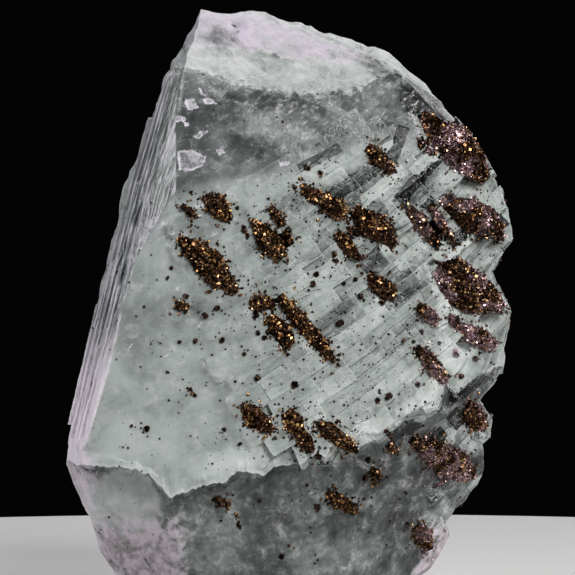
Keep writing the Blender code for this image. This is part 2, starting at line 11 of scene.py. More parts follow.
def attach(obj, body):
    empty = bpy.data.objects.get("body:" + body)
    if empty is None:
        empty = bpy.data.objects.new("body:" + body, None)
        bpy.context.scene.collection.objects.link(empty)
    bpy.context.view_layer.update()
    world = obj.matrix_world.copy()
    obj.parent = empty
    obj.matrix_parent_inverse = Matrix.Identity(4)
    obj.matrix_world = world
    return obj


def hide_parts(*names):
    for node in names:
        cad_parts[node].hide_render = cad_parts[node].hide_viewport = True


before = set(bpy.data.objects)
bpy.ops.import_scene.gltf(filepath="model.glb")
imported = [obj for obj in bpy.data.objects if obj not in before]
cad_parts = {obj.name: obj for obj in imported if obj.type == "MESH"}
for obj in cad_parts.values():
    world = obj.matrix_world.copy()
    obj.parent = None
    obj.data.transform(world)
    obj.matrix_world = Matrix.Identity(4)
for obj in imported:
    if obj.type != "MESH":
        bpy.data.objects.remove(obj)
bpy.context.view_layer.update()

# Places on the specimen are read on the upright plane through its middle, as seen from straight
# before it: (x, z) in mm, with x to the right and z up from the base
sight = {
    "eye": Vector((-0.8, -479.2, 46.6)),   # where the specimen is looked at from, in mm
    "reach": 479.0,                        # from the eye to that plane
    "lens": 200.0,
}
toMetres = 0.001


def sightPlace(points):
    # where each point is seen on the sight plane
    scale = (points[:, 1] - sight["eye"].y) / sight["reach"]
    x = (points[:, 0] - sight["eye"].x) / scale
    z = sight["eye"].z + (points[:, 2] - sight["eye"].z) / scale
    return x, z


def along(line, at):
    # the value of a line of (place, value) points
    xs, values = zip(*line)
    return np.interp(at, xs, values)


def ease(value, low, high):
    share = np.clip((value - low) / (high - low), 0.0, 1.0)
    return share * share * (3 - 2 * share)


def fractal(points, size, seed):
    # a noise whose largest lumps have the given size in mm
    shift = Vector((seed, 1.7 * seed, -seed))
    rate = 1.0 / size
    return np.array([noise.fractal(Vector(p) * rate + shift, 0.8, 2.1, 3) for p in points])


# Node trees

class Finish:
    def __init__(self, name):
        self.material = bpy.data.materials.new(name)
        self.material.use_nodes = True
        self.tree = self.material.node_tree
        self.shader = self.tree.nodes["Principled BSDF"]
        self.output = self.tree.nodes["Material Output"]

    def put(self, socket, value):
        if isinstance(value, bpy.types.NodeSocket):
            self.tree.links.new(value, socket)
        elif isinstance(value, tuple) and len(value) == 3 and socket.type == "RGBA":
            socket.default_value = (*value, 1.0)
        else:
            socket.default_value = value

    def node(self, kind, inputs=None, **settings):
        made = self.tree.nodes.new(kind)
        for name, value in settings.items():
            setattr(made, name, value)
        for name, value in (inputs or {}).items():
            self.put(made.inputs[name], value)
        return made

    def shade(self, name, value):
        self.put(self.shader.inputs[name], value)

    def math(self, operation, first, second=0.0, third=0.0, clamp=False):
        settings = {"operation": operation, "use_clamp": clamp}
        return self.node("ShaderNodeMath", {0: first, 1: second, 2: third}, **settings).outputs[0]

    def plus(self, first, second):
        return self.math("ADD", first, second)

    def minus(self, first, second):
        return self.math("SUBTRACT", first, second)

    def times(self, first, second):
        return self.math("MULTIPLY", first, second)

    def most(self, first, second):
        return self.math("MAXIMUM", first, second)

    def without(self, value, mask):
        return self.times(value, self.minus(1.0, mask))

    def scaled(self, value, factor, base):
        # value times factor, on top of base
        return self.math("MULTIPLY_ADD", value, factor, base)

    def swing(self, value, factor, base):
        # the same for the swing of a noise about its middle
        return self.scaled(self.minus(value, 0.5), factor, base)

    def threads(self, value, width):
        # thin winding lines where a noise crosses its middle
        return self.span(self.math("ABSOLUTE", self.minus(value, 0.5)), width, 0.0)

    def stretch(self, place, scale):
        inputs = {0: place, 1: scale}
        return self.node("ShaderNodeVectorMath", inputs, operation="MULTIPLY").outputs[0]

    def axes(self, place):
        return self.node("ShaderNodeSeparateXYZ", {0: place}).outputs

    def blend(self, share, first, second):
        made = self.node("ShaderNodeMix", data_type="RGBA")
        self.put(made.inputs[0], share)
        self.put(made.inputs[6], first)
        self.put(made.inputs[7], second)
        return made.outputs[2]

    def between(self, share, first, second):
        made = self.node("ShaderNodeMix", data_type="FLOAT", clamp_factor=True)
        self.put(made.inputs[0], share)
        self.put(made.inputs[2], first)
        self.put(made.inputs[3], second)
        return made.outputs[0]

    def span(self, value, low, high, first=0.0, second=1.0):
        # eases from first to second while the value goes from low to high
        names = ("Value", "From Min", "From Max", "To Min", "To Max")
        inputs = dict(zip(names, (value, low, high, first, second)))
        return self.node("ShaderNodeMapRange", inputs, interpolation_type="SMOOTHSTEP").outputs[0]

    def attribute(self, name, output="Fac"):
        return self.node("ShaderNodeAttribute", attribute_name=name).outputs[output]

    def grain(self, place, rate, detail=3.0, rough=0.55, twist=0.0):
        names = ("Vector", "Scale", "Detail", "Roughness", "Distortion")
        inputs = dict(zip(names, (place, rate, detail, rough, twist)))
        return self.node("ShaderNodeTexNoise", inputs).outputs["Fac"]

    def ramp(self, value, *stops):
        made = self.node("ShaderNodeValToRGB", {"Fac": value})
        points = made.color_ramp.elements
        while len(points) < len(stops):
            points.new(0.5)
        for point, (place, colour) in zip(points, stops):
            point.position = place
            point.color = (*colour, 1.0)
        return made.outputs["Color"]

    def millimetres(self):
        place = self.node("ShaderNodeTexCoord").outputs["Object"]
        return self.stretch(place, (1 / toMetres,) * 3)

    def bump(self, height, strength, distance):
        inputs = {"Strength": strength, "Distance": distance, "Height": height}
        self.shade("Normal", self.node("ShaderNodeBump", inputs).outputs[0])


# Meshes

def inMillimetres(mesh):
    shape = bmesh.new()
    shape.from_mesh(mesh)
    bmesh.ops.scale(shape, vec=(1 / toMetres,) * 3, verts=shape.verts)
    return shape


def solidOf(node):
    # the CAD solid as one closed mesh, in mm
    shape = inMillimetres(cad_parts[node].data)
    bmesh.ops.remove_doubles(shape, verts=shape.verts, dist=0.0005)
    bmesh.ops.recalc_face_normals(shape, faces=shape.faces)
    return shape


def pointsOf(shape):
    return np.array([vert.co for vert in shape.verts])


def cornersOf(shape):
    # the corners of each face, by their index
    shape.verts.index_update()
    return [[vert.index for vert in face.verts] for face in shape.faces]


def refine(shape, edgeLength):
    # splits each edge that is too long for its place, until none is left
    for _ in range(9):
        shape.verts.index_update()
        places = pointsOf(shape)
        ends = np.array([(edge.verts[0].index, edge.verts[1].index) for edge in shape.edges])
        first, second = places[ends[:, 0]], places[ends[:, 1]]
        wanted = 1.45 * edgeLength((first + second) / 2)
        tooLong = np.linalg.norm(first - second, axis=1) > wanted
        chosen = [edge for edge, long in zip(shape.edges, tooLong) if long]
        if not chosen:
            break
        bmesh.ops.subdivide_edges(shape, edges=chosen, cuts=1)
        bmesh.ops.triangulate(shape, faces=[face for face in shape.faces if len(face.verts) > 3])


def newPiece(name, mesh, material, slot, *nodes):
    mesh.transform(Matrix.Scale(toMetres, 4))
    mesh.materials.clear()
    mesh.materials.append(material)
    piece = bpy.data.objects.new(name, mesh)
    bpy.context.scene.collection.objects.link(piece)
    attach(piece, "root")
    if nodes:
        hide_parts(*nodes)
    return piece


def paint(mesh, name, values, domain="POINT"):
    layer = mesh.attributes.new(name, "FLOAT", domain)
    layer.data.foreach_set("value", np.asarray(values, dtype=np.float32))


def paintPlace(mesh, name, columns):
    layer = mesh.attributes.new(name, "FLOAT_VECTOR", "POINT")
    layer.data.foreach_set("vector", np.stack(columns, 1).astype(np.float32).ravel())


# Camera and stage

studio = {
    "floorSize": 0.36, "floorCorners": 96, "floorHeight": -0.0001,
    "floorColour": (0.6, 0.6, 0.59), "floorGrain": 1.5, "floorRoughness": (0.75, 0.9),
    "surround": (0.0012, 0.0012, 0.0012),
    "aim": (0, 0, 0.045),   # where all the lights point
    "lights": (   # name, place, size, power in watts, colour; all but the power in metres
        ("top", (0.04, 0.04, 0.55), 0.34, 1.2, (1.0, 0.96, 1.0)),
        ("key", (0.22, -0.41, 0.4), 0.26, 2.3, (1.0, 1.0, 0.99)),
        ("right", (0.44, -0.12, 0.12), 0.2, 0.8, (1.0, 0.98, 0.95)),
        ("left", (-0.42, -0.06, 0.26), 0.2, 1.0, (0.97, 0.97, 1.0)),
        ("behind", (0.15, 0.5, 0.3), 0.3, 0.35, (1.0, 1.0, 1.0)),
    ),
}


def makeCamera():
    data = bpy.data.cameras.new("front_view")
    data.lens = sight["lens"]
    camera = bpy.data.objects.new("front_view", data)
    camera.location = sight["eye"] * toMetres
    camera.rotation_euler = (math.pi / 2, 0, 0)
    bpy.context.scene.collection.objects.link(camera)
    bpy.context.scene.camera = camera


def makeStage():
    shape = bmesh.new()
    radius, corners = studio["floorSize"] / 2, studio["floorCorners"]
    bmesh.ops.create_circle(shape, cap_ends=True, radius=radius, segments=corners)
    mesh = bpy.data.meshes.new("floor")
    shape.to_mesh(mesh)
    shape.free()
    finish = Finish("floor paper")
    grain = finish.grain(finish.millimetres(), studio["floorGrain"])
    finish.shade("Base Color", studio["floorColour"])
    finish.shade("Roughness", finish.between(grain, *studio["floorRoughness"]))
    mesh.materials.append(finish.material)
    floor = bpy.data.objects.new("floor", mesh)
    floor.location.z = studio["floorHeight"]
    bpy.context.scene.collection.objects.link(floor)


def makeLights():
    aim = Vector(studio["aim"])
    for name, place, size, power, colour in studio["lights"]:
        data = bpy.data.lights.new(name, "AREA")
        data.shape = "DISK"
        data.size = size
        data.energy = power
        data.color = colour
        light = bpy.data.objects.new(name, data)
        light.location = place
        light.rotation_euler = (Vector(place) - aim).to_track_quat("Z", "Y").to_euler()
        bpy.context.scene.collection.objects.link(light)
    world = bpy.data.worlds.new("studio")
    world.use_nodes = True
    background = world.node_tree.nodes["Background"]
    background.inputs["Color"].default_value = (*studio["surround"], 1.0)
    bpy.context.scene.world = world
    bpy.context.scene.view_settings.view_transform = "Standard"


# The fluorite block. Its regions are bounded by lines on the sight plane

block = {
    "seed": 5,
    "ledge": ((-33, 20.8), (-31.5, 20), (-24.5, 19.6), (-20.7, 18.5), (-17.6, 15.3),
              (-12, 17.1), (-9.3, 17.5), (-7.5, 19.1), (-3.5, 18.5), (-2, 19.8), (3.5, 20.4),
              (9.3, 21.9), (10, 24.8), (14, 24.9), (17.7, 27.8), (23.5, 29), (26.1, 31.3),
              (31, 34.8)),
    "shoulder": ((-17, 60.5), (-5.7, 63), (1.8, 65), (8.6, 67.2), (16.8, 68.4),
                 (34, 69.5)),
    "topBreak": ((-17, 79.6), (-13, 79), (-5.7, 76.6), (1.8, 75.4), (8.6, 75.6),
                 (16.5, 79.4), (30, 70)),
    "topBand": ((-14, 83), (-3, 82), (0.5, 81.2), (8.6, 80.4), (16, 80.5)),
    "leftNear": ((20.4, -31.2), (32, -27.5), (40.2, -25.5), (49.2, -23.7), (61.2, -16.7),
                 (73.2, -16.8), (82.2, -15.5)),   # (z, x)
    "leftFar": ((20, -33.2), (36.5, -30.6), (46.2, -27.9), (62, -24), (78, -18.6),
                (84, -16)),
    "plainLedge": ((-33.2, 20.6), (-31.2, 20.4), (-23, 17.6), (-17.4, 15.5), (-6, 18.6),
                   (6.3, 21.8), (19.8, 29.2), (31, 36)),   # the ledge as the solid has it
    "ledgeReach": 3.0,     # how far from the ledge its jagged line is felt
    "ledgeTeeth": (1.3, 0.45),   # length and height of its small teeth
    "pocketGap": 0.45, "crustReach": 1.6,   # the gap round a crust, and from how far it is closed
    "rowSlope": 0.65, "rowBend": 0.0058, "endCut": 0.8,   # the growth lattice
    # How long the edges of the mesh are, in mm
    "frontEdge": 0.42, "ledgeEdge": 0.26, "stepEdge": 0.26, "chipEdge": 0.14,
    "backEdge": 1.0, "baseEdge": 2.5,
    "sharpAngle": 18.0,   # the turn in degrees from which an edge is sharp
    "flatDot": 0.9995,    # faces this much alike are one facet
    # Relief in mm, by two noises of the given lump size and seed
    "wander": (5.0, 3.0), "crumble": (1.6, 9.0),
    "topRelief": (0.42, 0.28), "footRelief": (0.32, 0.1), "backRelief": (0.58, 0.25),
    "stepRelief": 0.025, "upperRelief": 0.04, "chipDepth": 0.1,
    # Ridges of the left face: how many across it, waves in a mm up it, seed and share
    "ridgeRelief": 0.22, "ridges": ((14.0, 0.07, 3.0, 1.0), (37.0, 0.16, 8.0, 0.5)),
    # How much the calm faces and the left face are evened out, and in how many rounds
    "calmEvened": 0.6, "leftEvened": 0.25, "evenRounds": 14,
}

# White chips on the dark upper face, each a polygon of (x, z)
chips = (
    ((-16.5, 67.2), (-14.2, 67.2), (-12.1, 66.2), (-12.7, 64.9), (-14.4, 64.1), (-16.2, 64.3)),
    ((-15.2, 74.9), (-14.1, 74.9), (-13.3, 73.6), (-14.8, 73.2), (-15.3, 74)),
    ((-17, 72.4), (-15.6, 72.3), (-15.2, 71.6), (-16.8, 71.4)),
    ((-12.9, 75), (-11.4, 74.9), (-10.7, 74.2), (-12.3, 74.1)),
    ((-10.6, 67.3), (-9.8, 67.4), (-9.4, 66.8), (-10.2, 66.4)),
    ((-14.1, 69.3), (-12.6, 70.3), (-11.9, 70), (-13.3, 68.9)),
    ((-1.2, 65.4), (0.3, 65.7), (0.6, 65.1), (-0.8, 64.8)),
    ((-13.3, 76.6), (-12.8, 76.3), (-12.4, 75.4), (-12.9, 75.5)),
    ((-15.5, 71.4), (-14.9, 71.5), (-14.7, 70.9), (-15.3, 70.8)),
)

# Short bright flaws in the front: both ends
flaws = (
    ((-11.4, 54.3), (-9.4, 55.4)), ((-19.5, 53.7), (-17, 54.9)), ((0, 49.6), (1.4, 50.8)),
    ((6.7, 45.9), (8.3, 47.3)), ((-3.3, 82.2), (-2.1, 84.6)), ((-7.9, 82.2), (-7.8, 85.9)),
    ((5.2, 80.6), (6.3, 83)), ((-6.4, 77.8), (-3, 78.9)), ((0.2, 78.9), (3.4, 76.6)),
    ((-18.9, 35.9), (-18, 36.5)), ((-25.8, 27.6), (-25.2, 28.1)),
    ((-16.4, 35.2), (-15.3, 35.6)), ((-10.2, 33.1), (-9.6, 32.2)), ((12.2, 31.2), (12.9, 32.6)),
    ((-23.9, 37.4), (-23.3, 38.1)),
)

# Soft pale (over 0) and dark (under 0) clouds inside: x, z, reach along and across, turn, tone
fog = (
    (24.5, 36.6, 4.5, 3, 20, 0.42), (20.5, 29.6, 6, 2.4, 32, 0.34),
    (11, 24.5, 9, 2.6, 28, 0.26), (-8, 20.5, 10, 3, 12, 0.2),
    (-22, 24, 9, 6, 0, 0.12), (-21.9, 39, 5.5, 9, 5, -0.1),
    (26.5, 62, 6, 3, -45, 0.12), (-12.9, 56.5, 7, 3.4, 10, -0.12),
    (3, 61, 9, 3, 20, -0.14), (-24.5, 14, 9, 6.5, -10, 0.38),
    (-11, 8, 7, 8, 0, 0.12), (-4, 75, 14, 2.2, -8, -0.08),
    (22, 20, 5, 3, 20, -0.1), (5, 6, 12, 5, 15, 0.1),
    (12.6, 18.4, 7, 3.4, 20, -0.14), (13, 11.7, 7, 4.5, 15, -0.08),
    (17, 32, 10, 8, 35, 0.08), (-11, 45, 8, 6, 0, -0.06),
    (27, 26, 5, 4, 40, 0.1), (9.3, 60.1, 6, 3, 30, -0.16),
    (20.1, 62.7, 6, 4.2, 45, -0.18), (19.4, 75.4, 6, 4, -45, -0.16),
    (7, 27.9, 7, 4.6, 30, 0.1), (-5.4, 67.6, 8, 2.8, 0, -0.12),
    (-11.4, 73, 6, 4, 0, -0.07), (19.8, 26, 5.5, 3.2, 30, -0.1),
    (25.4, 15.9, 4, 2.4, 20, 0.1), (-9.9, 84.2, 3.8, 2.1, -10, -0.26),
    (-1.8, 81.4, 1.4, 0.8, 0, -0.14), (12.6, 80.4, 5, 2.6, -30, -0.2),
)

# Cells of the lattice that are clear and dark (tone under 0) or milky and pale (over 0):
# x, z, length, width, turn in degrees, tone
cells = (
    (15.2, 67.9, 2, 1.1, 25, 0.9), (16.4, 67.8, 1.8, 6.2, -20, -0.8),
    (19.4, 62.7, 8.4, 1.9, 48, -0.8), (21.5, 58.9, 2.2, 2.2, 45, -0.9),
    (26, 53.9, 2.6, 2.6, 40, -0.9), (25.4, 26.9, 2.4, 2.6, 40, -0.9),
    (22.5, 24.4, 2.4, 1.8, 40, -0.8), (4.8, 66, 7, 1.5, 28, -0.5),
    (10.5, 62.8, 9, 2.2, 33, -0.5), (7, 60.8, 6, 1.4, 33, -0.4),
    (14.5, 62, 8, 1.8, 38, 0.6), (21.8, 66.3, 8, 2.4, 45, 0.5),
    (12.5, 57, 5.5, 4, 35, -0.4), (12.9, 50.3, 3.8, 3.2, 38, -0.5),
    (17.6, 46.8, 4.4, 3.4, 40, -0.4), (25.5, 51.5, 6, 2.4, 47, 0.6),
    (28, 49.5, 6, 2, 47, 0.4), (24, 43, 5, 3, 45, 0.6),
    (17.6, 25.6, 5, 2.2, 25, -0.6), (27.5, 32.5, 6, 2.6, 35, -0.7),
    (23.6, 30.4, 6, 1.5, 38, -0.5), (20.3, 27.3, 5.4, 1.5, 36, 0.5),
    (24.8, 20.2, 4.4, 1.3, 30, 0.4), (18.8, 55.6, 3.4, 2.4, 40, -0.35),
    (8.2, 44, 3, 2.2, 36, -0.2), (-2.6, 49.8, 3.6, 1.8, 32, -0.2),
)


def offsetsFrom(x, z, place, turn):
    # distances along and across a line through place, at a turn in degrees
    c, s = math.cos(math.radians(turn)), math.sin(math.radians(turn))
    dx, dz = x - place[0], z - place[1]
    return dx * c + dz * s, dz * c - dx * s


def patchAway(x, z, place, length, width, turn):
    # distance outside a turned rectangle on the sight plane, under 0 inside it
    a, b = offsetsFrom(x, z, place, turn)
    return np.maximum(np.abs(a) - length / 2, np.abs(b) - width / 2)


def chipAway(x, z):
    nearest = np.full(len(x), 9.0)
    for corners in chips:
        away = np.full(len(x), -9.0)
        for (ax, az), (bx, bz) in zip(corners, corners[1:] + corners[:1]):
            length = math.dist((ax, az), (bx, bz))
            away = np.maximum(away, ((x - ax) * (az - bz) + (z - az) * (bx - ax)) / length)
        nearest = np.minimum(nearest, away)
    return nearest


def flawAway(x, z):
    nearest = np.full(len(x), 9.0)
    for first, last in flaws:
        middle = ((first[0] + last[0]) / 2, (first[1] + last[1]) / 2)
        turn = math.degrees(math.atan2(last[1] - first[1], last[0] - first[0]))
        nearest = np.minimum(nearest, patchAway(x, z, middle, math.dist(first, last), 0.02, turn))
    return nearest


def cellAway(x, z):
    # distance outside the nearest marked cell, and the tone of that cell
    nearest, tone = np.full(len(x), 9.0), np.zeros(len(x))
    for cx, cz, length, width, turn, strength in cells:
        away = patchAway(x, z, (cx, cz), length, width, turn)
        tone = np.where(away < nearest, strength, tone)
        nearest = np.minimum(nearest, away)
    return nearest, tone


def fogTone(x, z):
    tone = np.zeros(len(x))
    for cx, cz, reachX, reachZ, turn, strength in fog:
        a, b = offsetsFrom(x, z, (cx, cz), turn)
        tone += strength * (1 - ease(np.hypot(a / reachX, b / reachZ), 0.3, 1.0))
    return tone


def blockEdgeLength(points):
    x, z = sightPlace(points)
    wanted = np.full(len(points), block["frontEdge"])
    stepped = (x > -4) & (z > along(block["ledge"], x) - 4) & (z < 76)
    wanted[stepped] = block["stepEdge"]
    wanted[np.abs(z - along(block["plainLedge"], x)) < 2.2] = block["ledgeEdge"]
    near = (np.abs(chipAway(x, z)) < 0.3) | (flawAway(x, z) < 0.3)
    near |= np.abs(cellAway(x, z)[0]) < 0.15
    wanted[near] = block["chipEdge"]
    depth = points[:, 1]
    wanted += (block["backEdge"] - wanted) * ease(depth, 0.0, 6.0)
    wanted[points[:, 2] < 0.05] = block["baseEdge"]
    return wanted


def nearestCrust(points, crustTree, reach):
    # the nearest place on a crust for each point, and how far it is
    nearest, away = points.copy(), np.full(len(points), reach)
    for index, point in enumerate(points):
        place, _, _, distance = crustTree.find_nearest(Vector(point), reach)
        if place is not None:
            nearest[index], away[index] = place, distance
    return nearest, away


def ledgeLift(depth, x, z, crustAway):
    # how far each point near the ledge moves up or down to make its line jagged
    plain = along(block["plainLedge"], x)
    pitch, height = block["ledgeTeeth"]
    teeth = [noise.fractal(Vector((a / pitch, 4.0, 0.0)), 0.7, 2.2, 3) for a in x]
    lift = along(block["ledge"], x) - plain
    lift += height * np.array(teeth)
    lift *= 1 - ease(np.abs(z - plain), 0.6, block["ledgeReach"])
    lift *= 1 - ease(depth, 0.0, 6.0)
    return lift * ease(crustAway, 0.5, 1.6)


def closeRound(points, nearest, away):
    # draws the rim of each pocket up against the crust in it
    gap = block["pocketGap"]
    past = 0.06   # how far into the crust
    fading = (gap + past) * (1 - ease(away, gap, block["crustReach"]))
    step = np.where(away < gap, away + past, fading)
    return (nearest - points) / np.maximum(away, 0.001)[:, None] * step[:, None]


def relaxed(shape, points, share, rounds):
    # evens out the points by their share, toward the middle of their neighbours
    ends = np.array([(edge.verts[0].index, edge.verts[1].index) for edge in shape.edges])
    count = np.bincount(ends.ravel(), minlength=len(points))
    places = points.copy()
    for _ in range(rounds):
        total = np.zeros_like(places)
        for axis in range(3):
            total[:, axis] = np.bincount(ends[:, 0], places[ends[:, 1], axis], len(places))
            total[:, axis] += np.bincount(ends[:, 1], places[ends[:, 0], axis], len(places))
        places += (total / count[:, None] - places) * share[:, None]
    return places


def facetTones(shape, rng):
    # one random tone for each flat facet of the solid
    layer = shape.faces.layers.float.new("facetTone")
    left = dict.fromkeys(shape.faces)   # in the same order on each run
    while left:
        tone = rng.random()
        reached = [left.popitem()[0]]
        while reached:
            face = reached.pop()
            face[layer] = tone
            for edge in face.edges:
                for other in edge.link_faces:
                    if other in left and other.normal.dot(face.normal) > block["flatDot"]:
                        del left[other]
                        reached.append(other)


def edgeFrostAndHighlight(shape, calm):
    # paints 1 along the convex edges of the solid, for a painted highlight and frost there, and
    # makes keen edges sharp, but not where calm
    layer = shape.verts.layers.float.new("edgeFrostAndHighlight")
    limit = math.radians(block["sharpAngle"])
    for edge in shape.edges:
        if len(edge.link_faces) != 2 or any(calm[vert.index] for vert in edge.verts):
            continue
        turn = edge.calc_face_angle_signed(0.0)
        edge.smooth = abs(turn) < limit
        if turn > limit:
            for vert in edge.verts:
                vert[layer] = 1.0


def buildBlock(crustTree):
    shape = solidOf("fluorite")
    facetTones(shape, random.Random(block["seed"]))
    refine(shape, blockEdgeLength)
    for face in shape.faces:
        face.smooth = True
    shape.normal_update()
    shape.verts.index_update()
    points = pointsOf(shape)
    normals = np.array([vert.normal for vert in shape.verts])
    x, z = sightPlace(points)
    depth = points[:, 1]
    nearest, crustAway = nearestCrust(points, crustTree, block["crustReach"])

    wander = fractal(points, *block["wander"])
    crumble = fractal(points, *block["crumble"])
    back = ease(depth, 1.0, 6.0)
    front = 1 - back
    leftNear = along(block["leftNear"], z)
    leftFar = along(block["leftFar"], z)
    across = (x - leftFar) / np.maximum(leftNear - leftFar, 1.0)
    ledgeAbove = z - along(block["plainLedge"], x)
    foot = 1 - ease(ledgeAbove, -0.2, 0.0)
    left = ease(leftNear - x, -0.2, 0.2) * (1 - foot)
    topAbove = z - along(block["topBreak"], x)
    top = ease(topAbove, -0.4, 0.4)
    upper = ease(z - along(block["shoulder"], x), -1.0, 1.0) * (1 - top) * (1 - left)
    stepped = (1 - foot) * (1 - upper) * (1 - top) * (1 - left)

    # The calm faces of the step field, the foot and the left, whose facets are evened out
    farFromCrust = ease(crustAway, 0.5, 1.2)
    calm = stepped * front * (1 - ease(x, -9.0, -2.0)) * ease(ledgeAbove, 0.8, 2.0) * farFromCrust
    calmFoot = foot * front * (1 - ease(x, 14.0, 19.0)) * ease(-ledgeAbove, 0.8, 2.0)
    calmFoot *= farFromCrust * ease(np.abs(x + 17.0), 1.5, 3.0)
    calmLeft = left * front * ease(across, -0.1, 0.1)
    edgeFrostAndHighlight(shape, calm + calmFoot + calmLeft > 0.3)
    evened = block["calmEvened"] * (calm + calmFoot) + block["leftEvened"] * calmLeft
    settled = relaxed(shape, points, evened, block["evenRounds"])

    # Relief of the broken and the grown surfaces, outward in mm
    def relief(name):
        large, small = block[name]
        return large * wander + small * crumble

    ridges = np.zeros(len(points))
    for rate, climb, seed, share in block["ridges"]:
        places = [Vector((a * rate, s * climb, seed)) for a, s in zip(across, z)]
        ridges += share * np.array([noise.noise(place) for place in places])
    rise = top * front * relief("topRelief")
    rise += left * front * block["ridgeRelief"] * ridges
    rise += foot * front * relief("footRelief")
    rise += back * relief("backRelief")
    rise += (stepped * front * block["stepRelief"] * crumble
             + upper * front * block["upperRelief"] * wander)
    rise -= ease(-chipAway(x, z), -0.1, 0.15) * block["chipDepth"] * front
    rise[points[:, 2] < 0.3] = 0.0
    rise *= ease(crustAway, 0.4, 1.0)
    closing = closeRound(points, nearest, crustAway)
    points = settled + normals * rise[:, None] + closing
    points[:, 2] += ledgeLift(depth, x, z, crustAway)
    for vert, place in zip(shape.verts, points):
        vert.co = place

    mesh = bpy.data.meshes.new("fluorite_block")
    shape.to_mesh(mesh)
    shape.free()
    cellOut, cellTone = cellAway(x, z)

    # Pink frost: the foot's lower left, lower right and left rim, and the left face's low end
    pink = foot * ease(-x + 1.5 * wander, 13.0, 18.0) * (1 - ease(z + 2.0 * wander, 7.0, 16.0))
    lowRight = ease(x - z * 0.4 + 2 * wander, 15.0, 20.0) * (1 - ease(z, 7.0, 14.0))
    pink = np.maximum(pink, foot * lowRight)
    pink = np.maximum(pink, foot * ease(-x, 27.5, 31.5) * front)
    lowLeft = ease(-x - (z - 20) * 0.3, 27.5, 31.0) * (1 - ease(z, 26.0, 36.0))
    pink = np.maximum(pink, (1 - foot) * lowLeft * front)

    # For the finish: places in mm off the limits of each region, and shares from 0 to 1
    crispFoot = 0.12 + 0.88 * ease(x, 16.0, 25.0)
    crispFront = 0.1 + 0.9 * ease(x, -12.0, 10.0)
    painted = {
        "topAbove": topAbove,
        "bandAbove": z - along(block["topBand"], x),
        "shoulderAbove": z - along(block["shoulder"], x),
        "leftInside": leftNear - x,
        "ledgeAbove": ledgeAbove,
        "chipOut": chipAway(x, z), "flawOut": flawAway(x, z),
        "cellOut": cellOut, "cellTone": cellTone,
        "fog": fogTone(x + 1.6 * wander, z + 1.2 * crumble) * front,
        "rosy": pink, "rear": back,
        "crisp": np.where(ledgeAbove < 0, crispFoot, crispFront),
    }
    for name, values in painted.items():
        paint(mesh, name, values)
    row = z - block["rowSlope"] * x - block["rowBend"] * x * x
    paintPlace(mesh, "lattice", (x + block["endCut"] * z, row, 0.3 * depth))
    paintPlace(mesh, "streakPlace", (across * (leftNear - leftFar), z, depth * 0.02))
    piece = newPiece("fluorite_block", mesh, fluoriteFinish(), "fluorite", "fluorite")
    print("fluorite block:", len(mesh.polygons), "faces")
    return piece


fluoriteLook = {
    "clear": (0.045, 0.053, 0.051),      # dark clear windows
    "grey": (0.2, 0.222, 0.214),        # glassy grey-green
    "milky": (0.44, 0.485, 0.465),
    "pale": (0.76, 0.8, 0.785),
    # also the white of the painted highlights on the left face
    "frost": (0.74, 0.7, 0.78),         # white of flakes and scratches
    "rim": (0.56, 0.49, 0.59),           # lavender of the broken top
    "lowRim": (0.56, 0.56, 0.57),        # its greyer lower part
    "rosy": (0.68, 0.58, 0.65),
    "smoothSide": (0.9, 0.82, 0.9),    # the smooth foot of the left face
    "ior": 1.434,
    "absorb": (0.42, 0.66, 0.56), "absorbDensity": 40.0,
    "frostClearness": 0.04, "frostRoughness": 0.5,
    "bump": (0.9, 0.00020),              # strength, and height in metres
    "bigCells": (2.0, 9.0, 0.22, 3.0),   # row height, cell length and joint width in mm, seed
    "smallCells": (0.95, 4.6, 0.17, 17.0),
    "grains": {   # scale, detail, roughness, distortion
        "clouds": (0.15, 3.0, 0.62, 0.5),
        "wisps": (0.75, 4.0, 0.68, 0.3),
        "specks": (2.6, 3.0, 0.7),
        "blotches": (0.42, 4.0, 0.72, 0.4),
        "cleavage": (1.0, 4.0, 0.62, 0.3),
        "scuffs": (1.4, 4.0, 0.78, 0.6),
        "streaks": (1.0, 5.0, 0.78, 0.4),
    },
    "stretches": {   # of the places that these grains are read at
        "cleavage": (0.3, 1.5, 1.0),
        "scuffs": (0.42, 1.5, 1.0),
        "streaks": (2.9, 0.15, 1.0),
    },
}


def parquet(f, lattice, pitch, length, line, seed):
    # gives each cell of the lattice a tone, a tilted plane and pale or dark joints
    acrossEnds, acrossRows = f.axes(lattice)[:2]
    wave = f.times(f.grain(lattice, 0.25 / pitch, 2.0), 1.3)
    v = f.plus(f.math("DIVIDE", acrossRows, pitch), wave)
    row, acrossCell = f.math("FLOOR", v), f.math("FRACT", v)
    rowNoise = f.node("ShaderNodeTexWhiteNoise", {"W": f.plus(row, seed)}, noise_dimensions="1D")
    rowPick = rowNoise.outputs["Value"]
    stretch = f.span(rowPick, 0.0, 1.0, 0.6, 1.7)
    u = f.scaled(acrossEnds, f.math("DIVIDE", stretch, length), f.times(rowPick, 9.0))
    column, alongCell = f.math("FLOOR", u), f.math("FRACT", u)
    cell = f.node("ShaderNodeCombineXYZ", {0: column, 1: row, 2: seed}).outputs[0]
    pick = f.node("ShaderNodeTexWhiteNoise", {"Vector": cell}, noise_dimensions="3D")
    first, second, third = f.axes(pick.outputs["Color"])
    tiltAlong = f.times(f.minus(first, 0.5), alongCell)
    tiltAcross = f.times(f.minus(second, 0.5), acrossCell)
    height = f.plus(f.plus(tiltAlong, tiltAcross), f.times(third, 0.5))
    sideLine = f.span(acrossCell, line / pitch, 0.0)
    endLine = f.span(alongCell, line / length, 0.0)
    kind = f.minus(f.span(first, 0.55, 0.8), f.span(second, 0.45, 0.2))
    shade = f.swing(acrossCell, 0.35, pick.outputs["Value"])
    return f.minus(shade, 0.5), height, f.times(f.most(sideLine, endLine), kind)


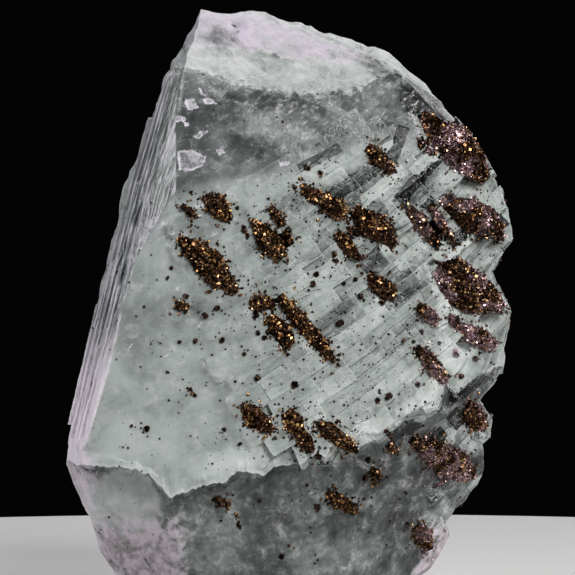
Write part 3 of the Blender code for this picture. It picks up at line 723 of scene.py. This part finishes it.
def fluoriteFinish():
    look, grains = fluoriteLook, fluoriteLook["grains"]
    f = Finish("fluorite")
    place = f.millimetres()
    lattice, streakPlace = (f.attribute(name, "Vector") for name in ("lattice", "streakPlace"))
    rear, rosy, crisp, fogged = (f.attribute(name) for name in ("rear", "rosy", "crisp", "fog"))
    topAbove, leftInside, ledgeAbove = (
        f.attribute(name) for name in ("topAbove", "leftInside", "ledgeAbove"))
    front = f.minus(1.0, rear)

    clouds, wisps, specks, blotches = (
        f.grain(place, *grains[name]) for name in ("clouds", "wisps", "specks", "blotches"))
    cleavage, scuffs, streaks = (
        f.grain(f.stretch(base, look["stretches"][name]), *grains[name])
        for name, base in (("cleavage", lattice), ("scuffs", lattice), ("streaks", streakPlace)))
    bigTone, bigHeight, bigJoint = parquet(f, lattice, *look["bigCells"])
    smallTone, smallHeight, smallJoint = parquet(f, lattice, *look["smallCells"])

    # Where each kind of surface lies, with fine ragged limits
    ragged = f.times(f.minus(wisps, 0.5), 2.2)
    above = f.scaled(ragged, f.scaled(crisp, 2.4, 1.3), topAbove)
    top = f.times(f.span(above, f.scaled(crisp, -1.0, -0.3), 0.4), front)
    band = f.plus(f.attribute("bandAbove"), f.times(ragged, 1.2))
    high = f.span(band, -0.3, 0.5)
    foot = f.times(f.span(ledgeAbove, 0.0, -0.12), front)
    leftFace = f.without(f.times(f.span(leftInside, -0.05, 0.12), front), foot)
    upper = f.span(f.plus(f.attribute("shoulderAbove"), ragged), -1.6, 1.8)
    upper = f.without(f.times(upper, f.without(front, top)), leftFace)
    steps = f.math("MULTIPLY", f.minus(1.0, upper), f.minus(front, top), clamp=True)
    steps = f.most(f.times(f.without(steps, leftFace), crisp), f.times(rear, 0.55))

    # How milky each place is: 0 clear and dark, 1 pale
    mosaic = f.scaled(bigTone, 0.24, f.times(smallTone, 0.07))
    mosaic = f.scaled(bigJoint, 0.26, f.scaled(smallJoint, 0.08, mosaic))
    mosaic = f.swing(f.attribute("facetTone"), 0.2, mosaic)
    mosaic = f.times(mosaic, f.times(steps, f.span(clouds, 0.36, 0.6, 0.45, 1.0)))
    milk = f.swing(clouds, f.between(rear, 0.42, 0.22), 0.56)
    milk = f.swing(wisps, f.scaled(crisp, 0.18, 0.03), milk)
    milk = f.swing(blotches, f.scaled(foot, 0.3, 0.16), milk)
    milk = f.swing(cleavage, f.scaled(steps, 0.22, 0.05), milk)
    milk = f.plus(f.plus(milk, mosaic), fogged)
    cell = f.times(f.span(f.attribute("cellOut"), 0.08, -0.06), f.attribute("cellTone"))
    milk = f.scaled(f.times(cell, front), 0.42, milk)
    # Painted highlight, partly frost: the convex edges of the solid are made paler
    # Painted shade: the milk of the undercut foot is lowered, so it is darker (and clearer) than
    # the front
    for tone, share in ((upper, -0.2), (foot, -0.24), (f.attribute("edgeFrostAndHighlight"), 0.14)):
        milk = f.scaled(tone, share, milk)
    milk = f.math("MAXIMUM", milk, 0.02, clamp=True)
    tones = [look[name] for name in ("clear", "grey", "milky", "pale")]
    colour = f.ramp(milk, *zip((0.0, 0.33, 0.63, 1.0), tones))

    # Marks on the smooth faces
    scratches = f.times(f.threads(cleavage, 0.012), f.span(wisps, 0.45, 0.62))
    flecks = f.times(f.span(scuffs, 0.52, 0.66), f.span(wisps, 0.42, 0.6, 0.15, 0.9))
    nearBreak = f.times(f.span(topAbove, -9.0, 0.0, 0.35, 1.0), f.scaled(crisp, 0.9, 0.5))
    upperMarks = f.times(f.most(f.times(flecks, nearBreak), f.times(scratches, 0.7)), upper)
    plainMarks = f.times(scratches, f.scaled(steps, 0.3, 0.12))
    footMarks = f.times(f.threads(wisps, 0.010), f.span(blotches, 0.46, 0.62, 0.0, 0.5))
    footMarks = f.times(f.most(footMarks, f.times(scratches, 0.4)), foot)

    # The broken top, fading to the right
    rim = f.times(f.span(clouds, 0.4, 0.6, 0.5, 1.0), f.span(wisps, 0.38, 0.58, 0.6, 1.0))
    lowRim = f.times(f.span(clouds, 0.44, 0.6, 0.12, 0.8), f.span(wisps, 0.4, 0.6, 0.4, 1.0))
    lowRim = f.most(lowRim, f.span(f.math("ABSOLUTE", band), 0.45, 0.05))
    rim = f.times(top, f.between(high, lowRim, rim))
    rim = f.times(rim, f.span(fogged, 0.0, -0.42, 1.0, 0.12))
    sideways = f.axes(place)[0]
    smudged = f.times(f.span(sideways, 0.0, 9.0), f.span(blotches, 0.44, 0.56, 0.75, 0.0))
    rim = f.times(f.without(rim, smudged), f.span(sideways, 12.0, 19.0, 1.0, 0.2))

    # The lip of the ledge, the chips and the flaws
    lip = f.without(f.span(ledgeAbove, 0.6, 0.05), foot)
    lip = f.times(f.times(lip, front), f.span(wisps, 0.42, 0.6, 0.05, 0.55))
    chipOut = f.swing(specks, 0.9, f.attribute("chipOut"))
    chipRim = f.times(f.span(chipOut, 0.06, -0.04), f.span(chipOut, -0.42, -0.16))
    crackle = f.most(f.threads(specks, 0.035), f.span(wisps, 0.42, 0.62, 0.18, 0.7))
    chip = f.most(chipRim, f.times(f.span(chipOut, 0.02, -0.1), crackle))
    chip = f.times(f.times(chip, f.span(wisps, 0.34, 0.52, 0.35, 1.0)), upper)
    flaw = f.span(f.swing(specks, 0.3, f.attribute("flawOut")), 0.1, 0.0)
    flaw = f.times(flaw, f.span(blotches, 0.36, 0.56, 0.45, 0.95))

    # The left face: streaked with painted highlight and painted shade above, smooth below, with a
    # white patch half way up its near edge
    fromFar, upward = f.axes(streakPlace)[:2]
    calm = f.span(upward, 46.0, 30.0)
    # Painted highlight: pale streaks where the edges of the face's small steps would catch light,
    # paler still toward its far edge
    streakHighlights = f.most(f.span(streaks, 0.48, 0.6), f.span(fromFar, 1.8, 0.2, 0.0, 0.7))
    smooth = f.times(f.span(wisps, 0.3, 0.6, 0.75, 1.0), f.span(streaks, 0.3, 0.46, 0.6, 1.0))
    sides = f.times(leftFace, f.between(calm, streakHighlights, smooth))
    nearEdge = f.times(f.span(leftInside, 2.4, 0.4), f.span(blotches, 0.4, 0.55))
    halfWayUp = f.span(f.math("ABSOLUTE", f.minus(upward, 54.0)), 5.5, 2.0)
    sides = f.most(sides, f.times(leftFace, f.times(nearEdge, halfWayUp)))

    # The pink places and the back, and all the frost together, with the painted highlights of the
    # left face
    mottled = f.scaled(wisps, 0.4, f.times(blotches, 0.6))
    rosyPlace = f.span(f.swing(mottled, 2.4, rosy), 0.0, 0.85)
    rosyFrost = f.times(rosyPlace, f.span(mottled, 0.4, 0.58, 0.4, 1.0))
    frost = f.times(rear, f.span(clouds, 0.4, 0.7, 0.02, 0.28))
    for more in (rim, sides, rosyFrost, upperMarks, plainMarks, footMarks, lip, chip, flaw):
        frost = f.most(frost, more)
    white = f.blend(top, look["frost"], f.blend(high, look["lowRim"], look["rim"]))
    white = f.blend(f.most(rosy, f.times(rear, 0.3)), white, look["rosy"])
    white = f.blend(f.times(leftFace, calm), white, look["smoothSide"])
    # Painted shade: dark streaks in the gaps between those steps, in the colour of the clear
    # windows
    dark = f.times(f.span(streaks, 0.52, 0.38, 0.0, 0.9), f.between(calm, 1.0, 0.0))
    colour = f.blend(f.times(leftFace, dark), colour, look["clear"])
    f.shade("Base Color", f.blend(frost, colour, white))

    lively = f.scaled(crisp, 0.85, 0.15)
    clearness = f.span(milk, 0.05, 0.6, 0.92, 0.08)
    rough = f.swing(specks, f.times(lively, 0.16), f.span(milk, 0.1, 0.8, 0.1, 0.34))
    f.shade("Transmission Weight", f.between(frost, clearness, look["frostClearness"]))
    f.shade("Roughness", f.between(frost, rough, look["frostRoughness"]))
    f.shade("IOR", look["ior"])

    height = f.times(f.scaled(smallHeight, 0.4, bigHeight), steps)
    for grain, share in (
            (wisps, f.scaled(lively, 0.4, 0.1)),
            (blotches, f.times(f.plus(foot, top), 1.6)),
            (wisps, f.times(top, 0.6)),
            (cleavage, f.scaled(steps, 0.35, 0.1)),
            (specks, f.times(lively, 0.14)),
            (streaks, f.times(leftFace, 1.6))):
        height = f.scaled(grain, share, height)
    f.bump(height, *look["bump"])

    absorption = {"Color": look["absorb"], "Density": look["absorbDensity"]}
    body = f.node("ShaderNodeVolumeAbsorption", absorption)
    f.put(f.output.inputs["Volume"], body.outputs[0])
    return f.material


# Pyrite: small crystals joined in one mesh for each crust

pyriteLook = {
    "seed": 77,
    # near black: partly tarnish, partly painted dark reflection
    "dark": (0.034, 0.019, 0.013),
    "bronze": (0.25, 0.125, 0.052),
    # the brass of pyrite, set on a few facets as painted glints
    "gold": (0.86, 0.56, 0.25),
    "tarnish": (0.44, 0.31, 0.35),   # the purple tint at the right
    "roughness": (0.16, 0.42), "bump": (0.5, 0.00004),   # its strength, and height in metres
    "crystalSizes": (0.2, 0.52),   # across a crystal, in mm
    "spacing": 0.3,
    "arms": 1.7,                    # how far ragged arms reach past the crust's body
    "halo": 2.4,                    # how far single crystals are strewn round it
    "sink": 0.3,                   # share of a crystal that is grown in
    "cubeSide": 0.84, "icosahedronRadius": 0.55, "pyritohedronSize": 0.36,
    "formShares": (0.5, 0.15, 0.35),   # of these three forms
    # the body's tone is the darkest, painted shade in the gaps between the crystals
    "bodyTone": 0.05,               # the crust's body between its crystals
    "onRight": (34, 35, 36), "onBack": (37, 38, 39),   # the crusts that aren't on the front
}


def crystalForms():
    # corners and faces of the crystals, each about 1 across
    cube = bmesh.new()
    bmesh.ops.create_cube(cube, size=pyriteLook["cubeSide"])
    icosahedron = bmesh.new()
    radius = pyriteLook["icosahedronRadius"]
    bmesh.ops.create_icosphere(icosahedron, subdivisions=1, radius=radius)
    pyritohedron = bmesh.new()
    h = 0.5   # how steep its twelve faces are
    corners = [(a, b, c) for a in (-1, 1) for b in (-1, 1) for c in (-1, 1)]
    for a in (-1, 1):
        for b in (-1, 1):
            p, q = a * (1 + h), b * (1 - h * h)
            corners += [(0, p, q), (p, q, 0), (q, 0, p)]
    size = pyriteLook["pyritohedronSize"]
    verts = [pyritohedron.verts.new(Vector(corner) * size) for corner in corners]
    bmesh.ops.convex_hull(pyritohedron, input=verts)
    verts, edges = pyritohedron.verts, pyritohedron.edges
    bmesh.ops.dissolve_limit(pyritohedron, angle_limit=0.02, verts=verts, edges=edges)
    forms = []
    for shape in (cube, icosahedron, pyritohedron):
        forms.append((pointsOf(shape), cornersOf(shape)))
        shape.free()
    return forms


class Crystals:
    # gathers crystals, and makes them one mesh
    def __init__(self, rng):
        self.rng = rng
        self.forms = crystalForms()
        self.places, self.faces, self.tones, self.count = [], [], [], 0

    def add(self, place, size, shine=1.0):
        rng = self.rng
        corners, faces = self.forms[rng.choices((0, 1, 2), pyriteLook["formShares"])[0]]
        turn = Quaternion([rng.gauss(0, 1) for _ in range(4)]).normalized()
        shape = np.array(turn.to_matrix()) * size
        stretch = np.array([rng.uniform(0.8, 1.15) for _ in range(3)])
        self.places.append((corners * stretch) @ shape.T + np.array(place))
        self.faces += [[index + self.count for index in face] for face in faces]
        # A tone for each face, so the facets of one crystal differ: partly the real spread of
        # pyrite colour, partly painted glints where it runs high; a shine under 1 darkens it
        tone = 0.62 * rng.random()
        self.tones += [(tone + 0.38 * rng.random()) * shine for _ in faces]
        self.count += len(corners)

    def mesh(self, name, body=None):
        places, faces, tones = np.concatenate(self.places), self.faces, self.tones
        if body is not None:
            extra = [[index + self.count for index in face] for face in cornersOf(body)]
            places = np.concatenate([places, pointsOf(body)])
            faces = faces + extra
            tones = tones + [pyriteLook["bodyTone"]] * len(extra)
        made = bpy.data.meshes.new(name)
        made.from_pydata(places.tolist(), [], faces)
        paint(made, "grainToneAndGlint", tones, "FACE")
        return made


def treeOfAll(nodes):
    corners, faces = [], []
    for node in nodes:
        shape = solidOf(node)
        faces += [[index + len(corners) for index in face] for face in cornersOf(shape)]
        corners += [vert.co.copy() for vert in shape.verts]
        shape.free()
    return BVHTree.FromPolygons(corners, faces)


def undersideNormal(shape, inward):
    # a crust's underside is the largest of its flats that face inward
    best, normal = 0.0, inward
    facing = [face for face in shape.faces if face.normal.dot(inward) > 0.55]
    for face in facing:
        area = sum(other.calc_area() for other in facing if other.normal.dot(face.normal) > 0.999)
        if area > best:
            best, normal = area, face.normal.copy()
    return normal


def inwardFrom(number):
    if number in pyriteLook["onRight"]:
        return Vector((-1, 0, 0))
    return Vector((0, -1, 0)) if number in pyriteLook["onBack"] else Vector((0, 1, 0))


def flattened(shape, middle, outward):
    # the crust pressed flat on the plane it lies in, for distances from its outline
    places = pointsOf(shape) - np.array(middle)
    places -= np.outer(places @ np.array(outward), np.array(outward))
    return places, BVHTree.FromPolygons([Vector(place) for place in places], cornersOf(shape))


def buildDruse(number, blockTree, material, rng):
    # the crystals of one crust: over its body and the gap round it, and loose ones past that
    node = f"pyrite_crust_{number:02d}"
    shape = solidOf(node)
    tree = BVHTree.FromBMesh(shape)
    middle = Vector(pointsOf(shape).mean(0))
    outward = -undersideNormal(shape, inwardFrom(number))
    flat, flatTree = flattened(shape, middle, outward)
    lengthways = Vector(np.linalg.svd(flat, full_matrices=False)[2][0]).normalized()
    sideways = outward.cross(lengthways)
    reachU = float(np.abs(flat @ np.array(lengthways)).max()) + pyriteLook["halo"]
    reachV = float(np.abs(flat @ np.array(sideways)).max()) + pyriteLook["halo"]
    crystals = Crystals(rng)
    spacing = pyriteLook["spacing"]
    low, high = pyriteLook["crystalSizes"]
    for u in np.arange(-reachU, reachU, spacing).tolist():
        for v in np.arange(-reachV, reachV, spacing).tolist():
            spot = (u + rng.uniform(-0.5, 0.5) * spacing) * lengthways
            spot += (v + rng.uniform(-0.5, 0.5) * spacing) * sideways
            away = flatTree.find_nearest(spot)[3]
            start = middle + spot + 8 * outward
            size = low + (high - low) * rng.random() ** 1.7
            place = tree.ray_cast(start, -outward)[0]
            lift = size * (0.5 - pyriteLook["sink"])
            there = middle + spot
            if place is not None:
                lift += 0.16 * noise.noise(there * 1.2)
            else:
                ragged = max(0.0, noise.noise(there * 1.1) + 0.6 * noise.noise(there * 2.9))
                if away > 0.1 + pyriteLook["arms"] * ragged:
                    near = max(0.0, 1 - away / pyriteLook["halo"])
                    if rng.random() > 0.14 * near ** 2 * (0.4 + ragged):
                        continue
                size *= 0.8
                place = blockTree.ray_cast(start, -outward)[0]
                if place is None or tree.find_nearest(place)[3] > away + 0.9:
                    continue
            crystals.add(place + outward * lift, size)
    made = crystals.mesh(f"pyrite_druse_{number:02d}", shape)
    shape.free()
    newPiece(made.name, made, material, "pyrite", node)
    return len(made.polygons)


def pyriteFinish():
    look = pyriteLook
    f = Finish("pyrite")
    place = f.millimetres()
    tone = f.attribute("grainToneAndGlint")
    patina = f.grain(place, 0.35, 3.0, 0.6)
    speckle = f.grain(place, 2.6, 3.0, 0.6)
    # Painted glints and painted dark reflection over the brass, bronze and tarnish of pyrite:
    # high tones and the fine speckle make facets gold, low ones near black
    value = f.swing(speckle, 0.35, f.swing(patina, 0.5, tone))
    colour = f.ramp(value, (0.42, look["dark"]), (0.72, look["bronze"]), (0.94, look["gold"]))
    purple = f.times(f.span(f.axes(place)[0], 12.0, 24.0), f.span(patina, 0.45, 0.6))
    colour = f.blend(f.times(purple, 0.7), colour, look["tarnish"])
    f.shade("Base Color", colour)
    f.shade("Metallic", 1.0)
    f.shade("Roughness", f.span(speckle, 0.3, 0.7, *look["roughness"]))
    f.bump(speckle, *look["bump"])
    return f.material


# Single crystals scattered over the front: x, z and size in mm
scatter = {
    "large": (
        (-15.2, 45.3, 0.9), (-18, 48, 0.6), (-17.4, 49.5, 0.6), (-14.5, 60.9, 0.5),
        (-7.5, 58.5, 0.6), (-4.7, 42.6, 1), (-2.9, 39.9, 0.9), (-4.4, 39.7, 0.7),
        (-3.5, 39, 0.7), (-16.2, 38.4, 0.6), (-13.8, 38.6, 0.7), (-9.8, 38.7, 0.9),
        (-10.5, 43.5, 0.9), (-12.3, 42.4, 0.9), (-6.5, 36.6, 0.6), (-18, 33.9, 0.5),
        (-4.5, 33, 0.9), (-21.1, 25.4, 0.9), (-23.4, 25.8, 0.5), (-9.5, 25.3, 0.6),
        (1.1, 32.1, 1.2), (7.7, 41.1, 1.2), (8.4, 47.2, 0.7), (4.3, 48.5, 0.9), (3.8, 47.1, 0.9),
        (10.2, 47.8, 0.7), (11, 45.2, 0.9), (14.2, 44.3, 0.9), (20, 39.8, 0.9),
        (17.4, 38.6, 0.7), (18.9, 38.5, 0.6), (19.5, 32.1, 0.8), (15.2, 30.3, 1.1),
        (13.5, 29.7, 0.8), (22.8, 38.3, 0.6), (25.2, 36.6, 1.1), (28.1, 36, 0.9),
        (24.3, 33.4, 0.5), (25.2, 33.4, 0.5), (26.1, 33.3, 0.8), (4.8, 21.5, 1.1),
        (12, 20.7, 0.9), (11.6, 18.1, 0.9), (2.9, 17, 0.6), (4.4, 13.8, 0.9),
        (-0.9, 6.3, 0.9), (17.7, 15.9, 0.6), (18, 10.8, 1), (-7.1, 23.1, 0.6),
        (0.2, 7.9, 0.5),
    ),
    "small": 1300, "smallSizes": (0.12, 0.34),
    "rows": (   # start, end, width of short rows of crystals, in mm
        ((-6.7, 55.8), (-6, 54), 0.9), ((9, 55.5), (10.8, 54.3), 1.5),
        ((6.8, 51.9), (7.5, 50.4), 1), ((-15, 31.5), (-13.8, 30.3), 0.9),
        ((2.6, 65), (3.3, 64.2), 0.9), ((4.8, 63.9), (5.1, 63), 0.8),
        ((14.6, 25.2), (15.6, 24.2), 1.2), ((-7.8, 12.9), (-7.1, 10.5), 0.7),
        ((19.5, 69), (22.3, 66.5), 2.2), ((27, 56.7), (32.4, 53.7), 1.6),
        ((21.8, 16.8), (23.3, 17.2), 0.8),
    ),
    "sides": 110, "seed": 31,
}


def seenFromFront(tree, x, z):
    # what is seen at a place on the sight plane
    ahead = Vector((x, 0.0, z)) + Vector((sight["eye"].x, 0.0, 0.0)) - sight["eye"]
    ahead.y = sight["reach"]
    return tree.ray_cast(sight["eye"], ahead.normalized())


def scatterDensity(x, z):
    # the chance that a small crystal grows at a place
    if z > np.interp(x, *zip(*block["shoulder"])) - 0.5:
        return 0.06
    share = 0.25 + 0.75 * float(ease(x, -16.0, 2.0))
    if z < np.interp(x, *zip(*block["ledge"])):
        share *= 0.35
    patch = noise.noise(Vector((x * 0.22, 0.0, z * 0.22)))
    return share * (0.35 + 0.65 * max(0.0, 0.5 + 1.6 * patch))


def buildScatter(blockTree, material):
    rng = random.Random(scatter["seed"])
    crystals = Crystals(rng)

    # A shine under 1 darkens a crystal's tones, painted dark reflection that keeps loose crystals
    # near black
    def plant(hit, size, shine=0.35):
        place, outward = hit[0], hit[1]
        if place is not None:
            crystals.add(place + outward * size * (0.5 - pyriteLook["sink"]), size, shine)

    for x, z, size in scatter["large"]:
        plant(seenFromFront(blockTree, x, z), size * 0.85)
        for _ in range(2):
            turn, away = rng.uniform(0, 2 * math.pi), size * rng.uniform(0.25, 0.4)
            hit = seenFromFront(blockTree, x + away * math.cos(turn), z + away * math.sin(turn))
            plant(hit, size * rng.uniform(0.4, 0.6))
    for start, end, width in scatter["rows"]:
        for _ in range(int(9 * width * (math.dist(start, end) + width))):
            t = rng.random()
            side = width * rng.uniform(-0.5, 0.5) * (1 - abs(2 * t - 1) ** 2)
            x = start[0] + t * (end[0] - start[0]) + side * 0.6
            z = start[1] + t * (end[1] - start[1]) + side * 0.8
            plant(seenFromFront(blockTree, x, z), rng.uniform(0.22, 0.45), 0.7)
    low, high = scatter["smallSizes"]
    planted = 0
    while planted < scatter["small"]:
        x, z = rng.uniform(-30, 33), rng.uniform(5, 76)
        if rng.random() > scatterDensity(x, z):
            continue
        hit = seenFromFront(blockTree, x, z)
        if hit[0] is None or hit[0].y > 4:
            continue
        plant(hit, low + (high - low) * rng.random() ** 2.5)
        planted += 1
    for _ in range(scatter["sides"]):
        turn = math.radians(rng.uniform(60, 215))
        ahead = Vector((-math.sin(turn), math.cos(turn), 0))
        start = Vector((0, 0, rng.uniform(8, 70))) - 200 * ahead
        start += rng.uniform(-22, 22) * Vector((math.cos(turn), math.sin(turn), 0))
        plant(blockTree.ray_cast(start, ahead), rng.uniform(0.2, 0.6))
    mesh = crystals.mesh("pyrite_scatter")
    newPiece("pyrite_scatter", mesh, material, "pyrite")
    print("scattered pyrite:", len(mesh.polygons), "faces")


def main():
    makeCamera()
    makeStage()
    makeLights()
    print("studio ready")
    crusts = sorted(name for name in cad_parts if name.startswith("pyrite_crust_"))
    shape = inMillimetres(buildBlock(treeOfAll(crusts)).data)
    blockTree = BVHTree.FromBMesh(shape)
    shape.free()
    material = pyriteFinish()
    print("pyrite material ready")
    rng = random.Random(pyriteLook["seed"])
    faces = 0
    for name in crusts:
        faces += buildDruse(int(name[-2:]), blockTree, material, rng)
    print("pyrite crusts:", faces, "faces")
    buildScatter(blockTree, material)


main()
